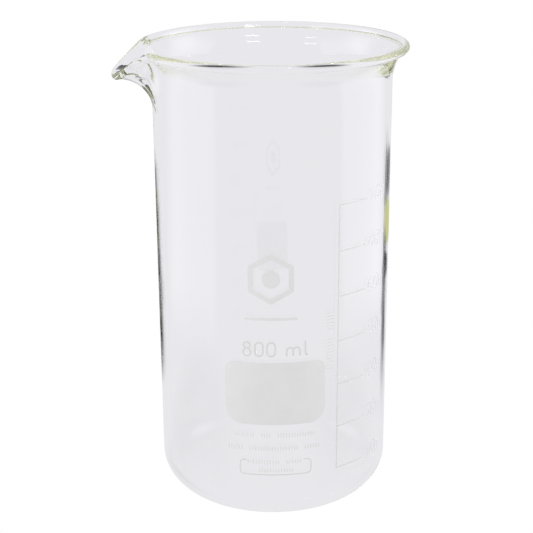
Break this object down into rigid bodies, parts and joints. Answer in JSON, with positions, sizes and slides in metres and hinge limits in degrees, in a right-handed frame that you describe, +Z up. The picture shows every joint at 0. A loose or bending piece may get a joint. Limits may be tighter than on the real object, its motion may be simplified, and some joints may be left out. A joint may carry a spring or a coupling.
{
  "type": "tall-form laboratory beaker",
  "caption": "Tall cylindrical glass laboratory beaker with a flared rim, pouring spout, rounded heel, and white enamel graduations, capacity figure and writing patch.",
  "frame": {"origin": "centre of the flat underside of the base, where the glass body's axis meets the surface it stands on", "axes": "+Z up along the axis of the glass body, the pouring spout points along -X, and the enamel marks face -Y, turned about seven degrees toward the spout"},
  "size_m": [0.1107, 0.102, 0.1778],
  "materials": {
    "glass": "polished",
    "enamel": "satin"
  },
  "bodies": {
    "root": {"glass_body": "glass", "batch_frame": "enamel", "capacity_digit_1": "enamel", "capacity_digit_2": "enamel", "capacity_digit_3": "enamel", "capacity_letter_l": "enamel", "capacity_letter_m": "enamel", "emblem_dot": "enamel", "emblem_hexagon": "enamel", "numeral_100_1": "enamel", "numeral_100_2": "enamel", "numeral_100_3": "enamel", "numeral_200_1": "enamel", "numeral_200_2": "enamel", "numeral_200_3": "enamel", "numeral_300_1": "enamel", "numeral_300_2": "enamel", "numeral_300_3": "enamel", "numeral_400_1": "enamel", "numeral_400_2": "enamel", "numeral_400_3": "enamel", "numeral_500_1": "enamel", "numeral_500_2": "enamel", "numeral_500_3": "enamel", "numeral_600_1": "enamel", "numeral_600_2": "enamel", "numeral_600_3": "enamel", "numeral_700_1": "enamel", "numeral_700_2": "enamel", "numeral_700_3": "enamel", "plain_rule": "enamel", "scale_line": "enamel", "writing_patch": "enamel"}
  },
  "joints": []
}
